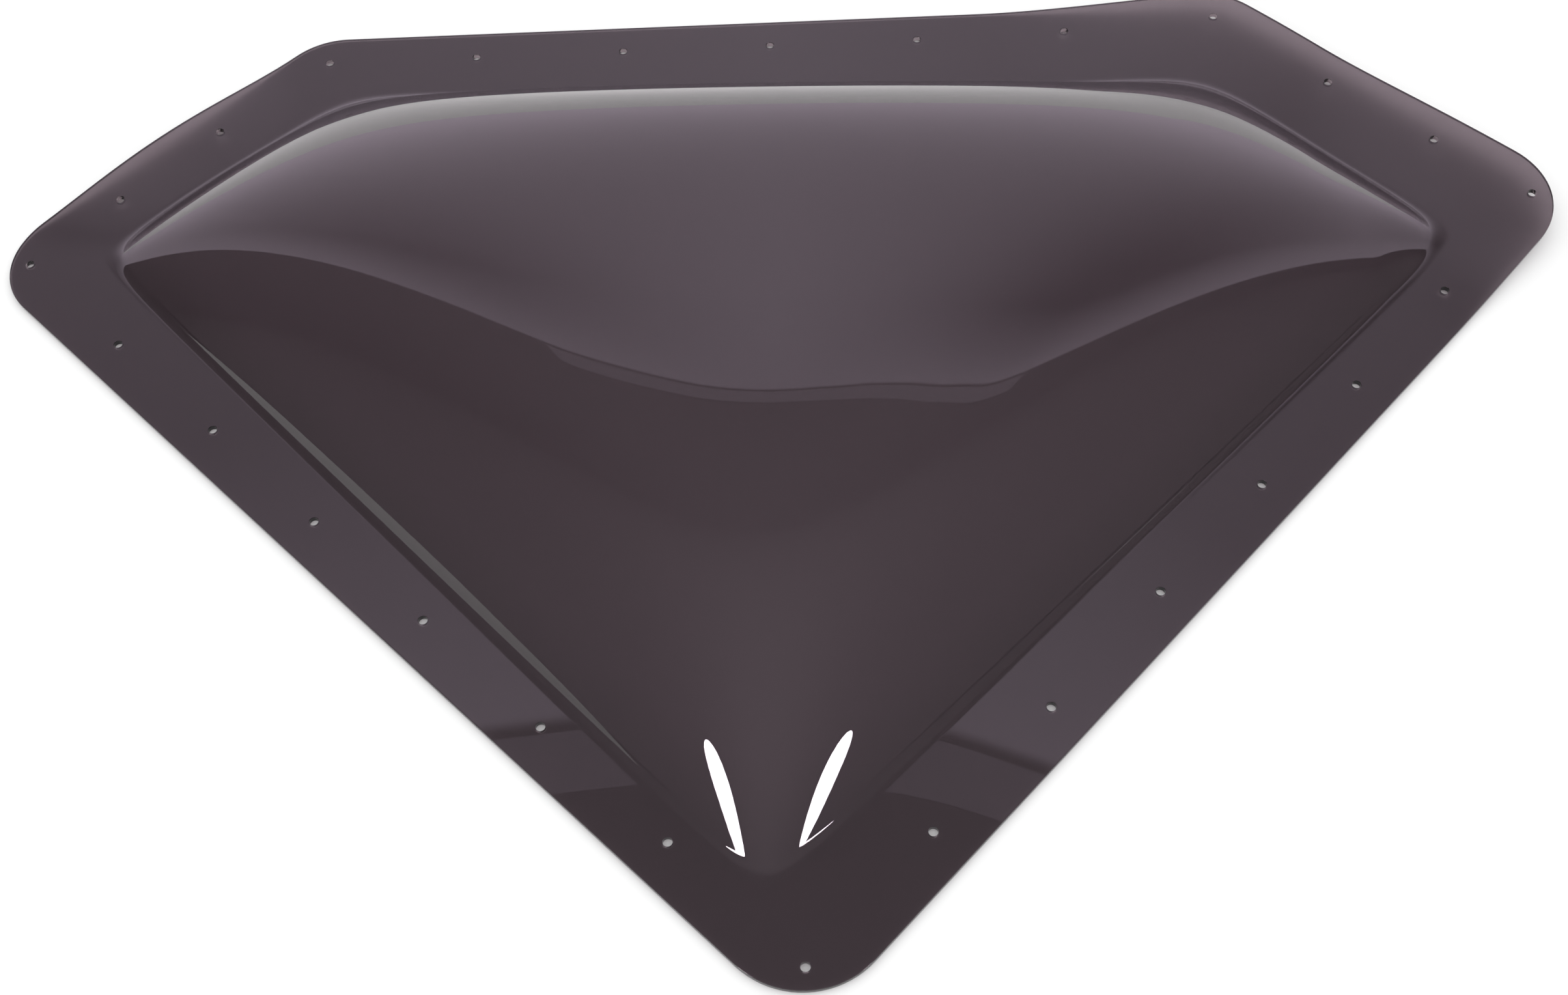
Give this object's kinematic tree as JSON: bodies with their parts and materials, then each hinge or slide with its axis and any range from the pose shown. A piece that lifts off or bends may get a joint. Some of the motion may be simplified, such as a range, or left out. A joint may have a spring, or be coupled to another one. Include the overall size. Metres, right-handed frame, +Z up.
{
  "type": "neo-angle skylight dome",
  "caption": "Five-sided low blown dome in tinted clear plastic, with a flat flange drilled for screws, that covers a corner-shaped skylight opening in a caravan roof.",
  "frame": {"origin": "middle of the plan's box, on the flange's underside", "axes": "+Z up through the crown, +X across the width, +Y towards the long straight back; the square corner points to -Y"},
  "size_m": [0.8966, 0.628, 0.09],
  "materials": {
    "tinted_sheet": "clear smoke tint, polished"
  },
  "bodies": {
    "root": {"skylight_dome": "tinted_sheet"}
  },
  "joints": []
}
